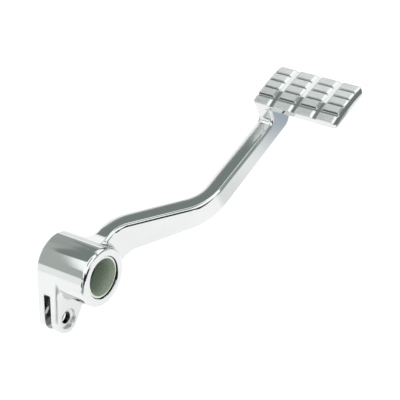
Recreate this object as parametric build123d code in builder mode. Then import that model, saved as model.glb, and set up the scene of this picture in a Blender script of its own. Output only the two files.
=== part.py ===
from build123d import *
from math import atan2, cos, degrees, radians, sin, sqrt, tan
import os

# Right-hand rear brake pedal of a motorbike: one chromed casting, which is a pivot hub
# with a clevis below it, a cranked arm and a ribbed foot pad, and two sleeve bushes
# pressed into the hub from its ends.
#
# X is the pivot axis and points outboard, Y points forward to the foot pad and Z points up,
# square to the pad.  The origin is the middle of the pivot bore.  Sizes are in millimetres.

os.makedirs("parts", exist_ok=True)

# Pivot hub
hub_diameter = 40.5
hub_length = 40.0
hub_rim_radius = 2.6
inboard_rim_chamfer = 1.0
bore_edge_chamfer = 0.6

# Sleeve bushes
bush_outside = 28.575
bush_bore = 25.4
bush_length = 16.5
bush_recess = 1.2
bush_seat_clearance = 0.01
bush_edge_chamfer = 0.3

# Arm, seen from above: a straight root, a diagonal and a straight front run
arm_width = 12.3
arm_root_x = 7.8
arm_front_x = 54.1
root_corner_y = 33.2
front_corner_y = 72.4
root_bend_radius = 21.0
front_bend_radius = 24.5
arm_edge_radius = 2.4

# Arm, seen from the side: a level top and an underside that rises to the front
arm_top_z = 14.35
depth_at_hub = 29.6
depth_at_front_bend = 15.7
depth_at_pad = 13.4
underside_bend_radius = 60.0
arm_end_radius = 9.5

# Blends where the arm grows out of the hub
top_blend_radius = 14.0
top_blend_start = 18.6
top_blend_sweep = 40.0
flare_radius = 10.0
root_fillet = 3.0

# Foot pad: a slightly arched plate with a grid of bevelled blocks
pad_rear_y = 149.4
pad_edge_z = 31.0
pad_thickness = 5.5
pad_overhang = 0.3
pad_end_slant = 1.5
pad_end_drop = 2.5
pad_front_margin = 0.8
pad_arch_radius = 115.0
pad_top_edge_chamfer = 0.5
pad_rim_radius = 1.4
column_count = 4
column_pitch = 16.75
column_groove = 3.3
column_bevel = 1.1
row_count = 5
row_pitch = 7.25
row_groove = 0.5
row_bevel = 0.55
rear_row_groove = 1.75
groove_depth = 1.2

# Neck between the arm and the pad
neck_length = 19.0
neck_lean = 3.0
neck_fillet = 3.2
neck_flare = 2.0
neck_flare_angle = 45.0

# Clevis for the brake rod
clevis_reach = 34.9
clevis_back_angle = 39.8
clevis_end_radius = 10.2
clevis_edge_radius = 1.0
clevis_blend_radius = 3.5
clevis_blend_taper = 30.0
ear_thickness = 5.8
slot_width = 5.4
slot_root_distance = 19.5
slot_root_radius = 1.2
pin_hole = 8.0
pin_counterbore = 14.2
pin_counterbore_depth = 2.0

# Places that follow from the sizes above
hub_radius = hub_diameter / 2
hub_end_x = hub_length / 2
bush_end_x = hub_end_x - bush_recess
arm_inboard_x = arm_root_x - arm_width / 2
arm_start_y = hub_radius / 2
diagonal_angle = atan2(arm_front_x - arm_root_x, front_corner_y - root_corner_y)
flare_start_y = root_corner_y - root_bend_radius * tan(diagonal_angle / 2)
neck_left_x = arm_front_x - arm_width / 2
pad_left_x = neck_left_x - pad_overhang
last_block_end_x = pad_left_x + column_count * column_pitch - column_groove - 2 * column_bevel
pad_length = last_block_end_x + column_bevel + pad_end_slant - pad_left_x
pad_right_x = pad_left_x + pad_length
row_gap = row_groove + 2 * row_bevel
rear_row_gap = rear_row_groove + 2 * row_bevel
pad_width = row_count * row_pitch + rear_row_gap - 2 * row_gap + pad_front_margin
pad_front_y = pad_rear_y + pad_width
pad_middle_y = pad_rear_y + pad_width / 2
column_slope = degrees(atan2(groove_depth, column_bevel))
row_slope = degrees(atan2(groove_depth, row_bevel))
row_turn = degrees(row_pitch / pad_arch_radius)
front_row_start = pad_width / 2 - pad_front_margin - row_pitch + row_gap
front_groove_turn = degrees((front_row_start - row_gap / 2) / pad_arch_radius)
rear_row_end = pad_width / 2 - row_pitch + row_gap
rear_groove_turn = degrees((rear_row_end - rear_row_gap / 2) / pad_arch_radius)
arch_axis_z = pad_edge_z - sqrt(pad_arch_radius**2 - (pad_width / 2) ** 2)
pad_crown_z = arch_axis_z + pad_arch_radius
neck_rear_y = pad_rear_y + pad_overhang
neck_front_y = neck_rear_y + neck_length
neck_top_z = pad_edge_z - pad_thickness / 2
neck_head_depth = pad_thickness / 2 + neck_flare
clevis_width = 2 * ear_thickness + slot_width
clevis_outer_x = clevis_width - hub_end_x
clevis_outward = (0, -sin(radians(clevis_back_angle)), -cos(radians(clevis_back_angle)))
clevis_across = (0, cos(radians(clevis_back_angle)), -sin(radians(clevis_back_angle)))
clevis_plane = Plane(origin=(-hub_end_x, 0, 0), x_dir=clevis_outward, z_dir=(1, 0, 0))
slot_plane = Plane(origin=(-hub_end_x, 0, 0), x_dir=(1, 0, 0), z_dir=clevis_across)
tolerance = 1e-6

# Arm and neck: the outline from above, cut to the profile from the side
with BuildPart() as arm:
    with BuildSketch(Plane.XY.offset(-hub_radius)):
        with BuildLine() as arm_path:
            FilletPolyline(
                (arm_root_x, arm_start_y),
                (arm_root_x, root_corner_y),
                (arm_front_x, front_corner_y),
                (arm_front_x, pad_front_y),
                radius=[root_bend_radius, front_bend_radius],
            )
        trace(arm_path.line, line_width=arm_width)
        with BuildLine():
            flare = CenterArc((arm_inboard_x - flare_radius, flare_start_y), flare_radius, 0, -90)
            Polyline(
                flare @ 1,
                (arm_inboard_x - flare_radius, arm_start_y),
                (arm_inboard_x, arm_start_y),
                flare @ 0,
            )
        make_face()
    extrude(amount=hub_diameter + pad_edge_z)
    with BuildSketch(Plane.YZ) as arm_side:
        with BuildLine():
            blend = CenterArc(
                (top_blend_start, arm_top_z + top_blend_radius),
                top_blend_radius,
                -90,
                -top_blend_sweep,
            )
            Line(blend @ 0, (neck_rear_y - neck_fillet, arm_top_z))
            rise = CenterArc(
                (neck_rear_y - neck_fillet, arm_top_z + neck_fillet), neck_fillet, -90, 90
            )
            Polyline(
                rise @ 1,
                (neck_rear_y, neck_top_z),
                (neck_front_y + neck_lean, neck_top_z),
                (neck_front_y, arm_top_z - depth_at_pad),
                (front_corner_y, arm_top_z - depth_at_front_bend),
                (arm_start_y, arm_top_z - depth_at_hub),
                blend @ 1,
            )
        make_face()
        heel = arm_side.vertices().filter_by_position(
            Axis.X, neck_front_y - tolerance, neck_front_y + tolerance
        )
        fillet(heel, arm_end_radius)
        knee = arm_side.vertices().filter_by_position(
            Axis.X, front_corner_y - tolerance, front_corner_y + tolerance
        )
        fillet(knee, underside_bend_radius)
    extrude(amount=arm_front_x + arm_width, both=True, mode=Mode.INTERSECT)
    end_faces = (
        arm.faces().sort_by(Axis.X)[:1]
        + arm.faces().sort_by(Axis.Y)[:1]
        + arm.faces().sort_by(Axis.Z)[-1:]
    )
    side_walls = arm.faces().filter_by(
        lambda face: abs(face.normal_at().Z) < tolerance < abs(face.normal_at().X)
    )
    profile_faces = arm.faces().filter_by(lambda face: abs(face.normal_at().X) < tolerance)
    long_edges = (side_walls - end_faces).edges() & (profile_faces - end_faces).edges()
    fillet(long_edges, arm_edge_radius)

# Foot pad
with BuildPart() as pad:
    with BuildSketch(Plane.YZ.offset(pad_left_x)):
        with BuildLine():
            crown = RadiusArc(
                (pad_rear_y, pad_edge_z), (pad_front_y, pad_edge_z), pad_arch_radius
            )
            Polyline(
                crown @ 0,
                (pad_rear_y, pad_edge_z - pad_thickness),
                (pad_front_y, pad_edge_z - pad_thickness),
                crown @ 1,
            )
        make_face()
    extrude(amount=pad_length)
    fillet(pad.edges().filter_by(Axis.Z), arm_edge_radius + pad_overhang)
    chamfer(pad.faces().sort_by(Axis.Z)[-1].edges(), pad_top_edge_chamfer)
    fillet(pad.faces().sort_by(Axis.Z)[0].edges(), pad_rim_radius)

    # Grooves between the columns of blocks, and the outboard end: a bevel and a steep slant
    with BuildSketch(Plane.XZ.offset(-pad_middle_y)):
        with Locations((pad_left_x - column_groove / 2 - column_bevel, pad_crown_z)):
            with Locations([(column_pitch * (k + 1), 0) for k in range(column_count - 1)]):
                Trapezoid(
                    column_groove + 4 * column_bevel, 2 * groove_depth, column_slope, rotation=180
                )
        with BuildLine():
            Polyline(
                (last_block_end_x - column_bevel, pad_crown_z + groove_depth),
                (last_block_end_x + column_bevel, pad_crown_z - groove_depth),
                (pad_right_x + pad_end_slant, pad_crown_z - groove_depth - 2 * pad_end_drop),
                (pad_right_x + pad_end_slant, pad_crown_z + groove_depth),
                close=True,
            )
        make_face()
    revolve(axis=Axis((0, pad_middle_y, arch_axis_z), (1, 0, 0)), mode=Mode.SUBTRACT)

    # Grooves between the rows of blocks; the rear one is wider
    with BuildSketch(Plane.YZ.offset(pad_left_x)):
        with Locations((pad_middle_y, arch_axis_z)):
            with PolarLocations(
                pad_arch_radius,
                row_count - 2,
                start_angle=90 - front_groove_turn,
                angular_range=(row_count - 2) * row_turn,
            ):
                Trapezoid(row_groove + 4 * row_bevel, 2 * groove_depth, row_slope, rotation=90)
            with PolarLocations(pad_arch_radius, 1, start_angle=90 + rear_groove_turn):
                Trapezoid(rear_row_groove + 4 * row_bevel, 2 * groove_depth, row_slope, rotation=90)
    extrude(amount=pad_length, mode=Mode.SUBTRACT)

# Head of the neck, which widens outboard and forward into the pad's underside
with BuildPart() as neck_head:
    with BuildSketch(Plane.XY.offset(neck_top_z)):
        with Locations((neck_left_x + arm_edge_radius, neck_rear_y + arm_edge_radius)):
            Rectangle(
                arm_width - arm_edge_radius + neck_head_depth,
                neck_length - arm_edge_radius + neck_head_depth,
                align=(Align.MIN, Align.MIN),
            )
    extrude(amount=-neck_head_depth, taper=neck_flare_angle)

# Lug that the clevis is cut from; its outboard outline is rounded where it stands clear of the hub
with BuildPart() as lug:
    with BuildSketch(clevis_plane):
        Circle(hub_radius)
        with Locations((clevis_reach, 0)):
            Circle(clevis_end_radius)
        make_hull()
    extrude(amount=clevis_width)
    fillet(lug.faces().sort_by(Axis.X)[-1].edges(), clevis_edge_radius)

# Hollow blend between the lug's outboard face and the hub, run out towards the lug's sides
with BuildPart() as lug_blend:
    with BuildSketch(Plane.XY):
        with BuildLine():
            hollow = CenterArc(
                (clevis_outer_x + clevis_blend_radius, hub_radius + clevis_blend_radius),
                clevis_blend_radius,
                180,
                90,
            )
            Polyline(hollow @ 1, (clevis_outer_x, hub_radius), hollow @ 0)
        make_face()
    revolve(axis=Axis.X)
    with BuildSketch(clevis_plane.offset(clevis_width)):
        Circle(hub_radius)
        with Locations((clevis_reach, 0)):
            Circle(clevis_end_radius)
        make_hull()
        offset(amount=-clevis_edge_radius)
    extrude(amount=clevis_blend_radius, taper=clevis_blend_taper, mode=Mode.INTERSECT)

# The casting
with BuildPart() as pedal_casting:
    with BuildSketch(clevis_plane):
        Circle(hub_radius)
    extrude(amount=hub_length)
    fillet(pedal_casting.faces().sort_by(Axis.X)[-1].edges(), hub_rim_radius)
    add(lug.part)
    add(lug_blend.part)
    chamfer(pedal_casting.faces().sort_by(Axis.X)[0].edges(), inboard_rim_chamfer)
    add(arm.part)
    fillet(pedal_casting.edges(Select.NEW), root_fillet)
    add(neck_head.part)
    add(pad.part)

    with Locations(Plane.YZ.offset(hub_end_x)):
        Hole(bush_outside / 2 + bush_seat_clearance)
    chamfer(pedal_casting.edges(Select.NEW), bore_edge_chamfer)

    with BuildSketch(slot_plane) as slot:
        with Locations((ear_thickness + slot_width / 2, slot_root_distance)):
            Rectangle(slot_width, clevis_reach, align=(Align.CENTER, Align.MIN))
        fillet(slot.vertices().sort_by(Axis.Y)[:2], slot_root_radius)
    extrude(amount=hub_radius, both=True, mode=Mode.SUBTRACT)
    with Locations(clevis_plane.offset(clevis_width)):
        with Locations((clevis_reach, 0)):
            CounterBoreHole(pin_hole / 2, pin_counterbore / 2, pin_counterbore_depth)

pedal_casting.part.label = "pedal_casting"
export_step(pedal_casting.part, "parts/pedal_casting.step")

# Sleeve bushes, one from each end of the bore
with BuildPart() as outer_bush:
    with BuildSketch(Plane.YZ.offset(bush_end_x)):
        Circle(bush_outside / 2)
        Circle(bush_bore / 2, mode=Mode.SUBTRACT)
    extrude(amount=-bush_length)
    outside_edges = outer_bush.edges().filter_by(GeomType.CIRCLE).group_by(SortBy.RADIUS)[-1]
    chamfer(outside_edges, bush_edge_chamfer)

outer_bush.part.label = "outer_bush"
export_step(outer_bush.part, "parts/outer_bush.step")

with BuildPart() as inner_bush:
    add(outer_bush.part)
    mirror(about=Plane.YZ, mode=Mode.REPLACE)

inner_bush.part.label = "inner_bush"
export_step(inner_bush.part, "parts/inner_bush.step")
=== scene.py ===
import logging
import math
from dataclasses import dataclass
from enum import Enum
from functools import reduce
from typing import Any

import bpy
from mathutils import Matrix, Vector


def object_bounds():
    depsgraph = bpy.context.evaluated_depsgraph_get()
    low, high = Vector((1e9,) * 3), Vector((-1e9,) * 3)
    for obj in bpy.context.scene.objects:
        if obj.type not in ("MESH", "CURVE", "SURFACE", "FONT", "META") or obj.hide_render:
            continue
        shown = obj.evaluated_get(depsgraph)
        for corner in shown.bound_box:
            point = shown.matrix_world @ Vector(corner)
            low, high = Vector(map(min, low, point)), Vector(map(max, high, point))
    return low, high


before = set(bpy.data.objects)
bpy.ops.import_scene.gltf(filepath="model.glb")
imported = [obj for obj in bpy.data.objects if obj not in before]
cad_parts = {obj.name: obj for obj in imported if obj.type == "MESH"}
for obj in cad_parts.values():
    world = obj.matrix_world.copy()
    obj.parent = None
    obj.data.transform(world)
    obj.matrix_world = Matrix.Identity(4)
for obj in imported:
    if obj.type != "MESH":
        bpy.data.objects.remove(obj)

CAD_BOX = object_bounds()
LOG = logging.getLogger("rear_brake_pedal")

Colour = tuple[float, float, float]
Point = tuple[float, float, float]
Span = tuple[float, float]
Outline = tuple[tuple[float, float], ...]
Socket = bpy.types.NodeSocket
Axes = tuple[Socket, Socket, Socket]

WHITE: Colour = (1.0, 1.0, 1.0)
WHITE_LEVEL: float = 1.42
CEILING_GREY: Colour = (0.385, 0.42, 0.40)
ROOM_DARK: Colour = (0.015, 0.017, 0.016)
HUB_AXIS: Span = (0.0, 0.0)


class Seen(Enum):
    """Which light paths a card of the studio shows up in."""

    EVERYWHERE = "everywhere"
    IN_METAL = "in reflections only"


class Lean(Enum):
    """Which side of its middle a soft step is full on."""

    ABOVE = 1
    BELOW = -1


@dataclass(frozen=True)
class Ramp:
    """A soft step from 0 to 1: its middle, its width and its full side."""

    middle: float
    width: float
    lean: Lean = Lean.ABOVE


@dataclass(frozen=True)
class Grain:
    """A noise: waves per metre, octaves and stretch along X, Y and Z."""

    scale: float
    detail: float
    stretch: Point = (1.0, 1.0, 1.0)


class NodeBench:
    """Places and joins the shader nodes of one tree."""

    texture_low: float = 0.3
    texture_high: float = 0.7
    bevel_samples: int = 8

    def __init__(self, tree: bpy.types.NodeTree) -> None:
        """Starts with an empty tree.

        Args:
            tree: the node tree of a material or of the world.
        """
        self.tree = tree
        self.tree.nodes.clear()

    @classmethod
    def for_material(cls, name: str) -> tuple[bpy.types.Material, "NodeBench"]:
        """Makes a node material.

        Args:
            name: the material's name.

        Returns:
            The material and the bench for its tree.
        """
        material = bpy.data.materials.new(name)
        material.use_nodes = True
        return material, cls(material.node_tree)

    def add(self, kind: str, **settings: Any) -> bpy.types.Node:
        """Adds a node.

        Args:
            kind: the node's type name without its "ShaderNode" start.
            settings: values of the node's own properties.

        Returns:
            The new node.
        """
        node = self.tree.nodes.new("ShaderNode" + kind)
        for key, value in settings.items():
            setattr(node, key, value)
        return node

    def feed(self, socket: Socket, value: Any) -> None:
        """Joins a socket to another one, or sets its value.

        Args:
            socket: the input socket.
            value: an output socket, a number, a colour or a vector.
        """
        if isinstance(value, bpy.types.NodeSocket):
            self.tree.links.new(value, socket)
        elif hasattr(socket.default_value, "__len__") and len(socket.default_value) == 4:
            socket.default_value = (*value, 1.0)
        else:
            socket.default_value = value

    def surface(self, shader: Socket) -> None:
        """Makes a shader the material's surface."""
        self.feed(self.add("OutputMaterial").inputs["Surface"], shader)

    def math(self, operation: str, first: Any, second: Any = 0.0) -> Socket:
        """Adds a Math node.

        Args:
            operation: what the node does, such as "ADD".
            first: first operand.
            second: second operand.

        Returns:
            The node's result.
        """
        node = self.add("Math", operation=operation)
        self.feed(node.inputs[0], first)
        self.feed(node.inputs[1], second)
        return node.outputs[0]

    def product(self, *factors: Any) -> Socket:
        """Multiplies two or more numbers."""
        return reduce(lambda first, second: self.math("MULTIPLY", first, second), factors)

    def highest(self, *values: Any) -> Socket:
        """Takes the highest of two or more numbers."""
        return reduce(lambda first, second: self.math("MAXIMUM", first, second), values)

    def dot(self, first: Any, second: Any) -> Socket:
        """Adds a dot product.

        Args:
            first: first vector.
            second: second vector.

        Returns:
            The dot product of both.
        """
        node = self.add("VectorMath", operation="DOT_PRODUCT")
        self.feed(node.inputs[0], first)
        self.feed(node.inputs[1], second)
        return node.outputs["Value"]

    def axes(self, vector: Socket) -> Axes:
        """Splits a vector.

        Args:
            vector: the vector.

        Returns:
            Its X, Y and Z.
        """
        node = self.add("SeparateXYZ")
        self.feed(node.inputs["Vector"], vector)
        return node.outputs["X"], node.outputs["Y"], node.outputs["Z"]

    def ramp(self, value: Socket, ramp: Ramp) -> Socket:
        """Adds a soft step.

        Args:
            value: the number that is compared.
            ramp: the step.

        Returns:
            The step's result, 0 to 1.
        """
        node = self.add("MapRange", interpolation_type="SMOOTHSTEP")
        half = ramp.lean.value * ramp.width / 2
        self.feed(node.inputs["Value"], value)
        self.feed(node.inputs["From Min"], ramp.middle - half)
        self.feed(node.inputs["From Max"], ramp.middle + half)
        return node.outputs["Result"]

    def spread(self, value: Socket, span: Span) -> Socket:
        """Spreads a texture's middle values over a range.

        Args:
            value: a texture's factor.
            span: results for the texture's dark and light parts.

        Returns:
            The spread value.
        """
        node = self.add("MapRange")
        self.feed(node.inputs["Value"], value)
        self.feed(node.inputs["From Min"], self.texture_low)
        self.feed(node.inputs["From Max"], self.texture_high)
        self.feed(node.inputs["To Min"], span[0])
        self.feed(node.inputs["To Max"], span[1])
        return node.outputs["Result"]

    def mix(self, factor: Any, first: Any, second: Any) -> Socket:
        """Mixes two colours.

        Args:
            factor: share of the second colour.
            first: first colour.
            second: second colour.

        Returns:
            The mixed colour.
        """
        node = self.add("Mix", data_type="RGBA")
        self.feed(node.inputs["Factor"], factor)
        self.feed(node.inputs[6], first)
        self.feed(node.inputs[7], second)
        return node.outputs[2]

    def turn(self, factor: Any, first: Any, second: Any) -> Socket:
        """Turns one normal towards another.

        Args:
            factor: share of the second normal.
            first: first normal.
            second: second normal.

        Returns:
            The turned normal.
        """
        node = self.add("Mix", data_type="VECTOR")
        self.feed(node.inputs["Factor"], factor)
        self.feed(node.inputs[4], first)
        self.feed(node.inputs[5], second)
        return node.outputs[1]

    def place(self) -> Socket:
        """Gives the piece's own coordinates."""
        return self.add("TexCoord").outputs["Object"]

    def stretched(self, scale: Point) -> Socket:
        """Gives the piece's own coordinates, stretched.

        Args:
            scale: stretch along X, Y and Z.

        Returns:
            The stretched coordinates.
        """
        mapping = self.add("Mapping")
        self.feed(mapping.inputs["Vector"], self.place())
        self.feed(mapping.inputs["Scale"], scale)
        return mapping.outputs["Vector"]

    def reach(self, axis: Span) -> Socket:
        """Gives the distance from a line along X.

        Args:
            axis: Y and Z of the line, in metres.

        Returns:
            The distance in metres.
        """
        radial = self.add("VectorMath", operation="DISTANCE")
        self.feed(radial.inputs[0], self.stretched((0.0, 1.0, 1.0)))
        self.feed(radial.inputs[1], (0.0, *axis))
        return radial.outputs["Value"]

    def noise(self, grain: Grain) -> Socket:
        """Adds a noise on the piece's own coordinates.

        Args:
            grain: the noise's sizes.

        Returns:
            The noise's factor.
        """
        node = self.add("TexNoise")
        self.feed(node.inputs["Vector"], self.stretched(grain.stretch))
        self.feed(node.inputs["Scale"], grain.scale)
        self.feed(node.inputs["Detail"], grain.detail)
        return node.outputs["Fac"]

    def bevel(self, radius: float) -> Socket:
        """Adds a rounding of the edges in shading.

        Args:
            radius: the rounding's radius in metres.

        Returns:
            The rounded normal.
        """
        node = self.add("Bevel", samples=self.bevel_samples)
        self.feed(node.inputs["Radius"], radius)
        return node.outputs["Normal"]

    def bump(self, height: Socket, distance: float, normal: Socket | None = None) -> Socket:
        """Adds a bump.

        Args:
            height: relief, 0 to 1.
            distance: its depth in metres.
            normal: a normal to build on.

        Returns:
            The bumped normal.
        """
        node = self.add("Bump")
        self.feed(node.inputs["Height"], height)
        self.feed(node.inputs["Distance"], distance)
        if normal is not None:
            self.feed(node.inputs["Normal"], normal)
        return node.outputs["Normal"]


@dataclass(frozen=True)
class ChromePlate:
    """Polished chrome plate over a buffed casting."""

    name: str = "chrome_plate"
    colour: Colour = (0.66, 0.668, 0.668)
    haze_colour: Colour = (0.60, 0.612, 0.606)
    cloud: Grain = Grain(46.0, 4.0)
    polish: Span = (0.035, 0.085)
    ripple: Grain = Grain(75.0, 2.0)
    ripple_height: float = 0.000012

    # Painted shade: a dark colour in crevices, holes, the rod's slot and on the walls of the gap
    # before the pad's rear row
    crevice_shade_colour: Colour = (0.05, 0.056, 0.052)
    crevice_reach: float = 0.002
    crevice_samples: int = 8
    closed: Ramp = Ramp(0.50, 0.30, Lean.BELOW)
    seat: Ramp = Ramp(0.01455, 0.0001, Lean.BELOW)
    pin_axis: Span = (-0.02234, -0.026813)
    pin_hole: Ramp = Ramp(0.00405, 0.0001, Lean.BELOW)
    clevis_outward: Point = (0.0, -0.6401, -0.7683)
    slot_start: Ramp = Ramp(-0.01424, 0.00004)
    slot_end: Ramp = Ramp(-0.00876, 0.00004, Lean.BELOW)
    slot_root: Ramp = Ramp(0.0192, 0.0004)
    slot_share: float = 0.48
    wall_facing: Ramp = Ramp(-0.6, 0.2, Lean.BELOW)
    wall_start: Ramp = Ramp(0.1515, 0.001)
    wall_end: Ramp = Ramp(0.1615, 0.001, Lean.BELOW)
    wall_share: float = 0.85

    # Tops of the pad's blocks, duller than the rest, with painted dark lines along their edges
    # (standing in for dark reflections), left off the edges facing outboard
    tread_axis: Span = (0.16775, -0.082523)
    crown: Ramp = Ramp(0.11485, 0.0002)
    tread_low: Ramp = Ramp(0.028, 0.001)
    scuff: Grain = Grain(900.0, 3.0, (0.25, 1.0, 1.0))
    tread_haze: Span = (0.26, 0.46)
    flat: Ramp = Ramp(0.985, 0.02)
    painted_edge_line_colour: Colour = (0.16, 0.172, 0.166)
    edge_lean: Ramp = Ramp(0.06, 0.08, Lean.BELOW)
    edge_share: float = 0.8

    # Rounding of the edges: slight all over, wide on the arm's inboard edge and outer ear's corner
    edge_round: float = 0.0008
    wide_round: float = 0.0040
    arm_start: Ramp = Ramp(0.028, 0.008)
    arm_top: Ramp = Ramp(0.020, 0.004, Lean.BELOW)
    arm_inboard: Ramp = Ramp(-0.02, 0.03, Lean.BELOW)
    ear_rear: Ramp = Ramp(-0.015, 0.004, Lean.BELOW)
    ear_start: Ramp = Ramp(-0.0082, 0.0006)
    ear_end: Ramp = Ramp(-0.001, 0.001, Lean.BELOW)
    corner_outboard: Ramp = Ramp(0.03, 0.04)
    corner_rear: Ramp = Ramp(-0.03, 0.04, Lean.BELOW)

    # Saddle where the arm's top runs into the hub
    saddle_normal: Point = (0.0, 0.47, 0.883)
    saddle_start: Ramp = Ramp(0.0125, 0.0015)
    saddle_end: Ramp = Ramp(0.0207, 0.002, Lean.BELOW)
    saddle_side: Ramp = Ramp(0.0122, 0.001, Lean.BELOW)
    saddle_low: Ramp = Ramp(0.012, 0.001)
    saddle_level: Ramp = Ramp(0.91, 0.05)

    def painted_crevice_shade(self, bench: NodeBench, place: Axes, facing: Axes) -> Socket:
        """Finds where shade is painted: crevices, the hub's bore, the pin hole, the rod's slot and
        the rear gap's walls.

        Args:
            bench: the material's bench.
            place: the shading point.
            facing: the face's normal.

        Returns:
            The share of the painted shade colour.
        """
        x, y, z = place
        openness = bench.add("AmbientOcclusion", samples=self.crevice_samples)
        bench.feed(openness.inputs["Distance"], self.crevice_reach)
        slot = bench.product(
            bench.ramp(x, self.slot_start),
            bench.ramp(x, self.slot_end),
            bench.ramp(bench.dot(bench.place(), self.clevis_outward), self.slot_root),
            self.slot_share,
        )
        rear_gap = bench.product(
            bench.ramp(facing[1], self.wall_facing),
            bench.ramp(y, self.wall_start),
            bench.ramp(y, self.wall_end),
            bench.ramp(z, self.tread_low),
            self.wall_share,
        )
        return bench.highest(
            bench.ramp(openness.outputs["AO"], self.closed),
            bench.ramp(bench.reach(HUB_AXIS), self.seat),
            bench.ramp(bench.reach(self.pin_axis), self.pin_hole),
            slot,
            rear_gap,
        )

    def normal(self, bench: NodeBench, place: Axes, facing: Axes, soft: Socket) -> Socket:
        """Rounds the edges and hollows the saddle, in shading.

        Args:
            bench: the material's bench.
            place: the shading point.
            facing: the face's normal.
            soft: the normal with slightly rounded edges.

        Returns:
            The rounded normal.
        """
        x, y, z = place
        wide = bench.bevel(self.wide_round)
        lean_x, lean_y, _ = bench.axes(wide)
        arm_edge = bench.product(
            bench.ramp(y, self.arm_start),
            bench.ramp(z, self.arm_top),
            bench.ramp(lean_x, self.arm_inboard),
        )
        ear_corner = bench.product(
            bench.ramp(y, self.ear_rear),
            bench.ramp(x, self.ear_start),
            bench.ramp(x, self.ear_end),
            bench.ramp(lean_x, self.corner_outboard),
            bench.ramp(lean_y, self.corner_rear),
        )
        saddle = bench.product(
            bench.ramp(y, self.saddle_start),
            bench.ramp(y, self.saddle_end),
            bench.ramp(x, self.saddle_side),
            bench.ramp(z, self.saddle_low),
            bench.ramp(facing[2], self.saddle_level),
        )
        rounded = bench.turn(bench.highest(arm_edge, ear_corner), soft, wide)
        return bench.turn(saddle, rounded, self.saddle_normal)

    def material(self) -> bpy.types.Material:
        """Builds the finish.

        Returns:
            The chrome material.
        """
        material, bench = NodeBench.for_material(self.name)
        place = bench.axes(bench.place())
        face = bench.add("NewGeometry").outputs["Normal"]
        facing = bench.axes(face)
        soft = bench.bevel(self.edge_round)
        cloud = bench.noise(self.cloud)
        tread = bench.product(
            bench.ramp(bench.reach(self.tread_axis), self.crown),
            bench.ramp(place[2], self.tread_low),
        )
        flat = bench.ramp(bench.dot(soft, face), self.flat)
        # Painted reflection: dark lines along the tread blocks' edges, except those facing outboard
        painted_edge_lines = bench.product(
            tread,
            bench.ramp(bench.axes(soft)[0], self.edge_lean),
            bench.math("SUBTRACT", 1.0, flat),
            self.edge_share,
        )
        plate = bench.mix(cloud, self.colour, self.haze_colour)
        plate = bench.mix(painted_edge_lines, plate, self.painted_edge_line_colour)
        # Painted shade: darkens crevices, the bore seat, the pin hole, the rod's slot and the rear
        # gap's walls
        dark = self.painted_crevice_shade(bench, place, facing)
        dull = bench.product(tread, flat, bench.spread(bench.noise(self.scuff), self.tread_haze))
        rough = bench.math("ADD", bench.spread(cloud, self.polish), dull)
        normal = self.normal(bench, place, facing, soft)
        shader = bench.add("BsdfPrincipled")
        bench.feed(shader.inputs["Base Color"], bench.mix(dark, plate, self.crevice_shade_colour))
        bench.feed(shader.inputs["Metallic"], 1.0)
        bench.feed(shader.inputs["Roughness"], rough)
        rippled = bench.bump(bench.noise(self.ripple), self.ripple_height, normal)
        bench.feed(shader.inputs["Normal"], rippled)
        bench.surface(shader.outputs["BSDF"])
        return material


@dataclass(frozen=True)
class LinedSteel:
    """Steel sleeve with a matt greenish liner on its inside."""

    name: str = "lined_steel"
    steel: Colour = (0.60, 0.62, 0.605)
    steel_roughness: Span = (0.112, 0.224)
    turning: Grain = Grain(5000.0, 2.0, (1.0, 0.02, 0.02))
    liner: Ramp = Ramp(0.01295, 0.0001, Lean.BELOW)
    liner_light: Colour = (0.46, 0.54, 0.43)
    liner_dark: Colour = (0.21, 0.265, 0.20)
    liner_painted_shade: Colour = (0.07, 0.095, 0.07)
    liner_roughness: Span = (0.527, 0.682)
    liner_matt: float = 0.7
    speckle: Grain = Grain(1400.0, 3.0)
    speckle_span: Span = (0.0, 1.0)
    pit_depth: float = 0.00002
    patch: Grain = Grain(120.0, 3.0, (1.0, 0.6, 0.6))
    patch_span: Span = (0.0, 0.5)
    # Painted shade inside the bore, darkest at its middle
    deep: Ramp = Ramp(0.0095, 0.018, Lean.BELOW)
    painted_shade_share: float = 0.62

    def lining(self, bench: NodeBench, grain: Socket) -> Socket:
        """Builds the liner's colour, speckled, with shade painted darker towards the bore's middle.

        Args:
            bench: the material's bench.
            grain: the liner's speckle.

        Returns:
            The liner's colour.
        """
        light = bench.spread(grain, self.speckle_span)
        colour = bench.mix(light, self.liner_dark, self.liner_light)
        patch = bench.spread(bench.noise(self.patch), self.patch_span)
        colour = bench.mix(patch, colour, self.liner_light)
        # Painted shade: the liner is darkened towards the bore's middle
        depth = bench.ramp(bench.math("ABSOLUTE", bench.axes(bench.place())[0]), self.deep)
        return bench.mix(bench.product(depth, self.painted_shade_share), colour, self.liner_painted_shade)

    def material(self) -> bpy.types.Material:
        """Builds the finish.

        Returns:
            The bush material.
        """
        material, bench = NodeBench.for_material(self.name)
        liner = bench.ramp(bench.reach(HUB_AXIS), self.liner)
        grain = bench.noise(self.speckle)
        metal = bench.math("SUBTRACT", 1.0, bench.product(liner, self.liner_matt))
        steel_rough = bench.spread(bench.noise(self.turning), self.steel_roughness)
        liner_rough = bench.spread(grain, self.liner_roughness)
        rough = bench.math(
            "ADD",
            bench.product(liner, liner_rough),
            bench.product(bench.math("SUBTRACT", 1.0, liner), steel_rough),
        )
        shader = bench.add("BsdfPrincipled")
        colour = bench.mix(liner, self.steel, self.lining(bench, grain))
        bench.feed(shader.inputs["Base Color"], colour)
        bench.feed(shader.inputs["Metallic"], metal)
        bench.feed(shader.inputs["Roughness"], rough)
        bench.feed(shader.inputs["Normal"], bench.bump(grain, self.pit_depth))
        bench.surface(shader.outputs["BSDF"])
        return material


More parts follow.
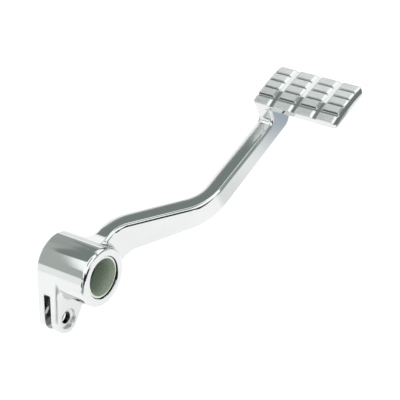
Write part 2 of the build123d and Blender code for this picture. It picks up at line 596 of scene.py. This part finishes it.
@dataclass(frozen=True)
class PaleFloor:
    """Matt pale floor; chrome mirrors some of its areas darker than they look."""

    name: str = "pale_floor"
    colour: Colour = (0.88, 0.885, 0.89)
    own_light: float = 0.16
    glow: float = 1.08
    mirrored_glow: float = 0.36
    glow_share: float = 0.75
    mirrored_share: float = 0.6

    # Far areas: in front of the pad, on the hub's inboard side and behind the hub
    far_tone: Colour = (0.30, 0.32, 0.325)
    front_start: Ramp = Ramp(0.29, 0.14)
    front_side: Ramp = Ramp(-0.06, 0.08)
    left_start: Ramp = Ramp(-0.17, 0.16, Lean.BELOW)
    left_rear: Ramp = Ramp(-0.05, 0.10)
    left_skew: Point = (1.1, 1.0, 0.0)
    left_front: Ramp = Ramp(-0.03, 0.06, Lean.BELOW)
    rear_start: Ramp = Ramp(-0.115, 0.09, Lean.BELOW)
    rear_side: Ramp = Ramp(-0.04, 0.06)

    # Area beside the arm's inboard face
    side_tone: Colour = (0.70, 0.715, 0.72)
    side_start: Ramp = Ramp(-0.025, 0.03, Lean.BELOW)
    side_rear: Ramp = Ramp(0.03, 0.04)

    def tones(self, bench: NodeBench, mirrored: Socket) -> tuple[Socket, Socket]:
        """Darkens the areas that chrome mirrors darker.

        Args:
            bench: the material's bench.
            mirrored: 1 in reflections.

        Returns:
            The toned colours of the matt floor and of its glow.
        """
        x, y, _ = bench.axes(bench.place())
        front = bench.product(bench.ramp(y, self.front_start), bench.ramp(x, self.front_side))
        left = bench.product(
            bench.ramp(x, self.left_start),
            bench.ramp(y, self.left_rear),
            bench.ramp(bench.dot(bench.place(), self.left_skew), self.left_front),
        )
        rear = bench.product(bench.ramp(y, self.rear_start), bench.ramp(x, self.rear_side))
        far = bench.product(bench.highest(front, left, rear), mirrored)
        beside = bench.product(
            bench.ramp(x, self.side_start), bench.ramp(y, self.side_rear), mirrored
        )
        matt = bench.mix(beside, self.colour, self.side_tone)
        glow = bench.mix(beside, WHITE, self.side_tone)
        return bench.mix(far, matt, self.far_tone), bench.mix(far, glow, self.far_tone)

    def material(self) -> bpy.types.Material:
        """Builds the finish, which is clear from below.

        Returns:
            The floor material.
        """
        material, bench = NodeBench.for_material(self.name)
        path = bench.add("LightPath")
        mirrored = path.outputs["Is Glossy Ray"]
        matt_tone, glow_tone = self.tones(bench, mirrored)
        matt = bench.add("BsdfPrincipled")
        bench.feed(matt.inputs["Base Color"], matt_tone)
        bench.feed(matt.inputs["Roughness"], 1.0)
        bench.feed(matt.inputs["Specular IOR Level"], 0.0)
        bench.feed(matt.inputs["Emission Color"], matt_tone)
        bench.feed(matt.inputs["Emission Strength"], self.own_light)
        glow = bench.add("Emission")
        bench.feed(glow.inputs["Color"], glow_tone)
        strength = bench.math("ADD", self.glow, bench.product(mirrored, self.mirrored_glow))
        bench.feed(glow.inputs["Strength"], strength)
        share = bench.math(
            "ADD",
            bench.product(path.outputs["Is Camera Ray"], self.glow_share),
            bench.product(mirrored, self.mirrored_share),
        )
        lit = bench.add("MixShader")
        bench.feed(lit.inputs["Fac"], share)
        bench.feed(lit.inputs[1], matt.outputs["BSDF"])
        bench.feed(lit.inputs[2], glow.outputs["Emission"])
        shown = bench.add("MixShader")
        bench.feed(shown.inputs["Fac"], bench.add("NewGeometry").outputs["Backfacing"])
        bench.feed(shown.inputs[1], lit.outputs["Shader"])
        bench.feed(shown.inputs[2], bench.add("BsdfTransparent").outputs["BSDF"])
        bench.surface(shown.outputs["Shader"])
        return material


@dataclass(frozen=True)
class LightBoxGlow:
    """Glow of the overhead light box, dimmer to the front and faded along its hub edge."""

    name: str = "light_box"
    colour: Colour = (0.97, 1.0, 1.0)
    near: float = 1.54
    far: float = 1.35
    far_start: Ramp = Ramp(0.15, 0.25)
    far_side: Ramp = Ramp(-0.05, 0.45, Lean.BELOW)
    rim: float = WHITE_LEVEL * CEILING_GREY[1]
    rim_bow: float = 0.45
    rim_edge: Ramp = Ramp(-0.414, 0.036, Lean.BELOW)
    rim_end: Ramp = Ramp(0.10, 0.10, Lean.BELOW)

    def material(self) -> bpy.types.Material:
        """Builds the glow.

        Returns:
            The light box material.
        """
        material, bench = NodeBench.for_material(self.name)
        x, y, _ = bench.axes(bench.place())
        dim = bench.product(
            bench.ramp(y, self.far_start), bench.ramp(x, self.far_side), self.near - self.far
        )
        bowed = bench.math("ADD", x, bench.product(y, y, self.rim_bow))
        fade = bench.product(
            bench.ramp(y, self.rim_end), bench.ramp(bowed, self.rim_edge), self.near - self.rim
        )
        glow = bench.add("Emission")
        bench.feed(glow.inputs["Color"], self.colour)
        level = bench.math("SUBTRACT", bench.math("SUBTRACT", self.near, dim), fade)
        bench.feed(glow.inputs["Strength"], level)
        bench.surface(glow.outputs["Emission"])
        return material


@dataclass(frozen=True)
class PadShade:
    """Shaded floor that the arm's outboard side mirrors, deepest below the pad."""

    name: str = "pad_shade"
    strength: float = WHITE_LEVEL
    rear: Colour = (0.96, 0.97, 0.96)
    middle: Colour = (0.75, 0.765, 0.745)
    front: Colour = (0.82, 0.84, 0.84)
    deep: Colour = (0.366, 0.42, 0.472)
    middle_start: Ramp = Ramp(0.105, 0.02)
    front_start: Ramp = Ramp(0.137, 0.03)
    deep_start: Ramp = Ramp(0.178, 0.056)

    def material(self) -> bpy.types.Material:
        """Builds the shade.

        Returns:
            The shade material.
        """
        material, bench = NodeBench.for_material(self.name)
        y = bench.axes(bench.place())[1]
        tone = bench.mix(bench.ramp(y, self.middle_start), self.rear, self.middle)
        tone = bench.mix(bench.ramp(y, self.front_start), tone, self.front)
        glow = bench.add("Emission")
        bench.feed(glow.inputs["Color"], bench.mix(bench.ramp(y, self.deep_start), tone, self.deep))
        bench.feed(glow.inputs["Strength"], self.strength)
        bench.surface(glow.outputs["Emission"])
        return material


@dataclass(frozen=True)
class PlainCard:
    """Even tone of a card."""

    name: str
    tone: Colour
    strength: float = WHITE_LEVEL

    def material(self) -> bpy.types.Material:
        """Builds the tone.

        Returns:
            The card's material.
        """
        material, bench = NodeBench.for_material(self.name)
        glow = bench.add("Emission")
        bench.feed(glow.inputs["Color"], self.tone)
        bench.feed(glow.inputs["Strength"], self.strength)
        bench.surface(glow.outputs["Emission"])
        return material


@dataclass
class PedalCasting:
    """The chromed casting: hub, clevis, arm, neck and ribbed pad."""

    node: str = "pedal_casting"
    slot: str = "chrome"
    finish: ChromePlate = ChromePlate()

    def dress(self) -> bpy.types.Object:
        """Gives the casting its chrome.

        Returns:
            The dressed object.
        """
        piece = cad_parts[self.node]
        piece.data.materials.clear()
        piece.data.materials.append(self.finish.material())
        return piece


@dataclass
class SleeveBushes:
    """The two sleeve bushes in the hub's bore."""

    nodes: tuple[str, ...] = ("outer_bush", "inner_bush")
    slot: str = "bush"
    finish: LinedSteel = LinedSteel()

    def dress(self) -> list[bpy.types.Object]:
        """Gives the bushes their liner and steel.

        Returns:
            The dressed objects.
        """
        material = self.finish.material()
        pieces = [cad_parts[name] for name in self.nodes]
        for piece in pieces:
            piece.data.materials.clear()
            piece.data.materials.append(material)
        return pieces


@dataclass
class Viewpoint:
    """Where the photograph was taken from, in degrees and metres, and its lens in millimetres."""

    azimuth: float = 47.016
    elevation: float = 43.406
    roll: float = -18.632
    distance: float = 1.0352
    shift_right: float = 0.077565
    shift_up: float = 0.044680
    lens: float = 144.0
    sensor: float = 36.0
    sight: float = 50.0

    def place(self) -> bpy.types.Object:
        """Makes the camera and hands it to the scene.

        Returns:
            The camera.
        """
        turn, lift, roll = (math.radians(a) for a in (self.azimuth, self.elevation, self.roll))
        back = Vector(
            (math.sin(turn) * math.cos(lift), -math.cos(turn) * math.cos(lift), math.sin(lift))
        )
        level = Vector((math.cos(turn), math.sin(turn), 0.0))
        rise = back.cross(level)
        right = math.cos(roll) * level + math.sin(roll) * rise
        up = -math.sin(roll) * level + math.cos(roll) * rise
        place = self.shift_right * right + self.shift_up * up + self.distance * back
        data = bpy.data.cameras.new("viewpoint")
        data.lens = self.lens
        data.sensor_width = self.sensor
        data.clip_end = self.sight
        camera = bpy.data.objects.new("viewpoint", data)
        turned = Matrix((right, up, back)).transposed().to_4x4()
        camera.matrix_world = Matrix.Translation(place) @ turned
        bpy.context.scene.collection.objects.link(camera)
        bpy.context.scene.camera = camera
        return camera


@dataclass
class Surroundings:
    """White all round; chrome mirrors a grey ceiling, dark walls and a dark room there."""

    name: str = "studio"
    brightness: float = WHITE_LEVEL

    # Grey ceiling, darker to the front, over walls that are pale to the rear
    ceiling_grey: Colour = CEILING_GREY
    ceiling_dark: Colour = (0.32, 0.352, 0.337)
    ceiling_up: Point = (0.0, 0.10, 1.0)
    ceiling_start: Ramp = Ramp(0.16, 0.10)
    ceiling_rear_up: Point = (0.0, 0.52, 1.0)
    ceiling_rear: Ramp = Ramp(-0.02, 0.08)
    ceiling_side: Ramp = Ramp(-0.66, 0.06)
    ceiling_front: Ramp = Ramp(0.35, 0.25)
    rear_pale: Colour = (0.85, 0.87, 0.865)
    rear_start: Ramp = Ramp(-0.45, 0.30, Lean.BELOW)

    # Dark corner on the pad's outboard side
    corner_dark: Colour = (0.17, 0.185, 0.18)
    corner_way: Point = (0.78, 0.60, 0.18)
    corner_edge: Ramp = Ramp(0.95, 0.04)

    # Dark walls that the other views mirror
    wall_dark: Colour = (0.10, 0.11, 0.108)
    wall_top: Ramp = Ramp(0.34, 0.10, Lean.BELOW)
    front_wall: Ramp = Ramp(0.91, 0.06)
    rear_wall: Ramp = Ramp(-0.93, 0.05, Lean.BELOW)
    inboard_wall: Ramp = Ramp(-0.86, 0.06, Lean.BELOW)
    inboard_wall_end: Ramp = Ramp(0.30, 0.10, Lean.BELOW)

    # Dark room on the outboard side, to the rear
    room_dark: Colour = ROOM_DARK
    room_way: Point = (0.77, -0.55, 0.32)
    room_edge: Ramp = Ramp(0.72, 0.08)
    room_side_way: Point = (0.862, 0.508, 0.0)
    room_side: Ramp = Ramp(0.0, 0.06)

    def mirrored(self, bench: NodeBench) -> Socket:
        """Builds what chrome mirrors.

        Args:
            bench: the world's bench.

        Returns:
            The colour in each direction.
        """
        way = bench.add("TexCoord").outputs["Generated"]
        x, y, z = bench.axes(way)
        ceiling = bench.product(
            bench.ramp(bench.dot(way, self.ceiling_up), self.ceiling_start),
            bench.ramp(bench.dot(way, self.ceiling_rear_up), self.ceiling_rear),
            bench.ramp(x, self.ceiling_side),
        )
        grey = bench.mix(bench.ramp(y, self.ceiling_front), self.ceiling_grey, self.ceiling_dark)
        pale = bench.mix(bench.ramp(y, self.rear_start), WHITE, self.rear_pale)
        colour = bench.mix(ceiling, pale, grey)
        corner = bench.ramp(bench.dot(way, self.corner_way), self.corner_edge)
        colour = bench.mix(corner, colour, self.corner_dark)
        inboard = bench.product(
            bench.ramp(x, self.inboard_wall), bench.ramp(y, self.inboard_wall_end)
        )
        walls = bench.highest(
            bench.ramp(y, self.front_wall), bench.ramp(y, self.rear_wall), inboard
        )
        walls = bench.product(walls, bench.ramp(z, self.wall_top))
        colour = bench.mix(walls, colour, self.wall_dark)
        room = bench.product(
            bench.ramp(bench.dot(way, self.room_way), self.room_edge),
            bench.ramp(bench.dot(way, self.room_side_way), self.room_side),
        )
        return bench.mix(room, colour, self.room_dark)

    def build(self) -> bpy.types.World:
        """Makes the scene's world.

        Returns:
            The world.
        """
        world = bpy.data.worlds.new(self.name)
        world.use_nodes = True
        bench = NodeBench(world.node_tree)
        path = bench.add("LightPath")
        plain = bench.highest(path.outputs["Is Camera Ray"], path.outputs["Is Diffuse Ray"])
        background = bench.add("Background")
        bench.feed(background.inputs["Color"], bench.mix(plain, self.mirrored(bench), WHITE))
        bench.feed(background.inputs["Strength"], self.brightness)
        output = bench.add("OutputWorld")
        bench.feed(output.inputs["Surface"], background.outputs["Background"])
        bpy.context.scene.world = world
        return world


@dataclass
class Studio:
    """Pale floor and the cards that the chrome mirrors, in metres."""

    floor: PaleFloor = PaleFloor()
    floor_half: float = 4.0
    floor_gap: float = 0.0002
    box_height: float = 0.6
    panel_drop: float = 0.01

    # Overhead light box and the dark flag in its bay
    light_box: LightBoxGlow = LightBoxGlow()
    box_outline: Outline = (
        (1.60, -0.68),
        (1.60, 2.30),
        (0.10, 2.30),
        (0.00, 1.32),
        (-0.93, 1.32),
        (-0.765, 1.00),
        (-0.60, 0.69),
        (-0.52, 0.60),
        (-0.445, 0.60),
        (-0.445, 0.655),
        (-0.395, 0.655),
        (-0.395, 0.60),
        (0.02, 0.60),
        (0.02, 0.42),
        (-0.30, 0.22),
        (-0.37, 0.02),
        (-0.435, -0.03),
        (-0.435, -0.08),
        (-0.445, -0.18),
        (-0.463, -0.27),
        (-0.493, -0.37),
        (-0.498, -0.43),
        (-0.20, -0.62),
        (0.10, -0.90),
        (0.52, -0.90),
        (0.29, -0.49),
        (0.37, -0.44),
        (0.82, -0.57),
    )
    dark_flag: PlainCard = PlainCard("dark_flag", (0.185, 0.215, 0.20))
    flag_outline: Outline = (
        (-0.435, -0.03),
        (-0.37, 0.02),
        (-0.30, 0.22),
        (0.02, 0.42),
        (0.02, 0.60),
        (-0.395, 0.60),
        (-0.395, 0.655),
        (-0.445, 0.655),
        (-0.445, 0.60),
        (-0.52, 0.60),
        (-0.60, 0.69),
        (-0.765, 1.00),
        (-1.20, 1.70),
        (-1.30, 1.70),
        (-0.815, 1.00),
        (-0.645, 0.70),
        (-0.55, 0.50),
        (-0.487, 0.36),
        (-0.452, 0.20),
    )

    # Panels below the light box: one over the part, and one that the arm's outboard edge mirrors
    grey_panel: PlainCard = PlainCard("grey_panel", (0.26, 0.285, 0.275))
    panel_outline: Outline = (
        (-0.08, -0.16),
        (0.20, -0.16),
        (0.20, 0.20),
        (-0.08, 0.20),
    )
    edge_strip: PlainCard = PlainCard("edge_strip", (0.30, 0.335, 0.315))
    strip_outline: Outline = (
        (0.15, 0.40),
        (0.27, 0.42),
        (0.49, 0.49),
        (0.83, 0.63),
        (1.70, 1.10),
        (1.60, 1.22),
        (0.83, 0.765),
        (0.49, 0.618),
        (0.27, 0.549),
        (0.15, 0.535),
    )

    # Cards on the floor: a dark one outboard of the hub, a grey one beside the pad, the pad's shade
    dark_gap: PlainCard = PlainCard("dark_gap", ROOM_DARK)
    gap_outline: Outline = (
        (0.532, -0.613),
        (0.386, -0.309),
        (0.278, -0.150),
        (0.250, -0.062),
        (0.154, -0.012),
        (0.122, 0.009),
        (0.116, 0.0356),
        (0.313, 0.052),
        (2.015, 0.105),
        (1.300, -1.530),
    )
    side_ground: PlainCard = PlainCard("side_ground", (0.40, 0.42, 0.43))
    side_outline: Outline = (
        (0.128, 0.130),
        (0.60, 0.20),
        (1.20, 0.90),
        (0.50, 0.60),
        (0.20, 0.30),
        (0.135, 0.18),
    )
    pad_shade: PadShade = PadShade()
    shade_outline: Outline = (
        (0.056, 0.094),
        (0.122, 0.094),
        (0.128, 0.150),
        (0.150, 0.270),
        (0.066, 0.270),
    )

    def card(
        self,
        finish: PaleFloor | LightBoxGlow | PadShade | PlainCard,
        outline: Outline,
        height: float,
        seen: Seen = Seen.IN_METAL,
    ) -> bpy.types.Object:
        """Makes a flat level card of the stage.

        Args:
            finish: the card's finish, which gives it its name.
            outline: its corners, seen from above.
            height: its height.
            seen: the light paths that it shows up in.

        Returns:
            The card.
        """
        mesh = bpy.data.meshes.new(finish.name)
        corners = [(x, y, height) for x, y in outline]
        mesh.from_pydata(corners, [], [list(range(len(corners)))])
        mesh.materials.append(finish.material())
        card = bpy.data.objects.new(finish.name, mesh)
        bpy.context.scene.collection.objects.link(card)
        if seen is Seen.IN_METAL:
            card.visible_camera = False
            card.visible_diffuse = False
            card.visible_shadow = False
            card.visible_transmission = False
        return card

    def build(self) -> list[bpy.types.Object]:
        """Makes the floor and the cards.

        Returns:
            The stage's objects.
        """
        low = CAD_BOX[0].z - self.floor_gap
        ground = low + self.floor_gap / 2
        below_box = self.box_height - self.panel_drop
        half = self.floor_half
        square = ((-half, -half), (half, -half), (half, half), (-half, half))
        return [
            self.card(self.floor, square, low, Seen.EVERYWHERE),
            self.card(self.light_box, self.box_outline, self.box_height),
            self.card(self.dark_flag, self.flag_outline, self.box_height),
            self.card(self.grey_panel, self.panel_outline, below_box),
            self.card(self.edge_strip, self.strip_outline, below_box),
            self.card(self.dark_gap, self.gap_outline, ground),
            self.card(self.side_ground, self.side_outline, ground),
            self.card(self.pad_shade, self.shade_outline, ground),
        ]


def main() -> None:
    """Dresses the pedal and sets up the studio."""
    logging.basicConfig(level=logging.INFO)
    bpy.context.scene.view_settings.view_transform = "Standard"
    camera = Viewpoint().place()
    LOG.info("camera %s", camera.name)
    casting = PedalCasting().dress()
    LOG.info("casting %s: %d triangles", casting.name, len(casting.data.polygons))
    for bush in SleeveBushes().dress():
        LOG.info("bush %s: %d triangles", bush.name, len(bush.data.polygons))
    for card in Studio().build():
        LOG.info("stage %s", card.name)
    world = Surroundings().build()
    LOG.info("world %s", world.name)


if __name__ == "__main__":
    main()
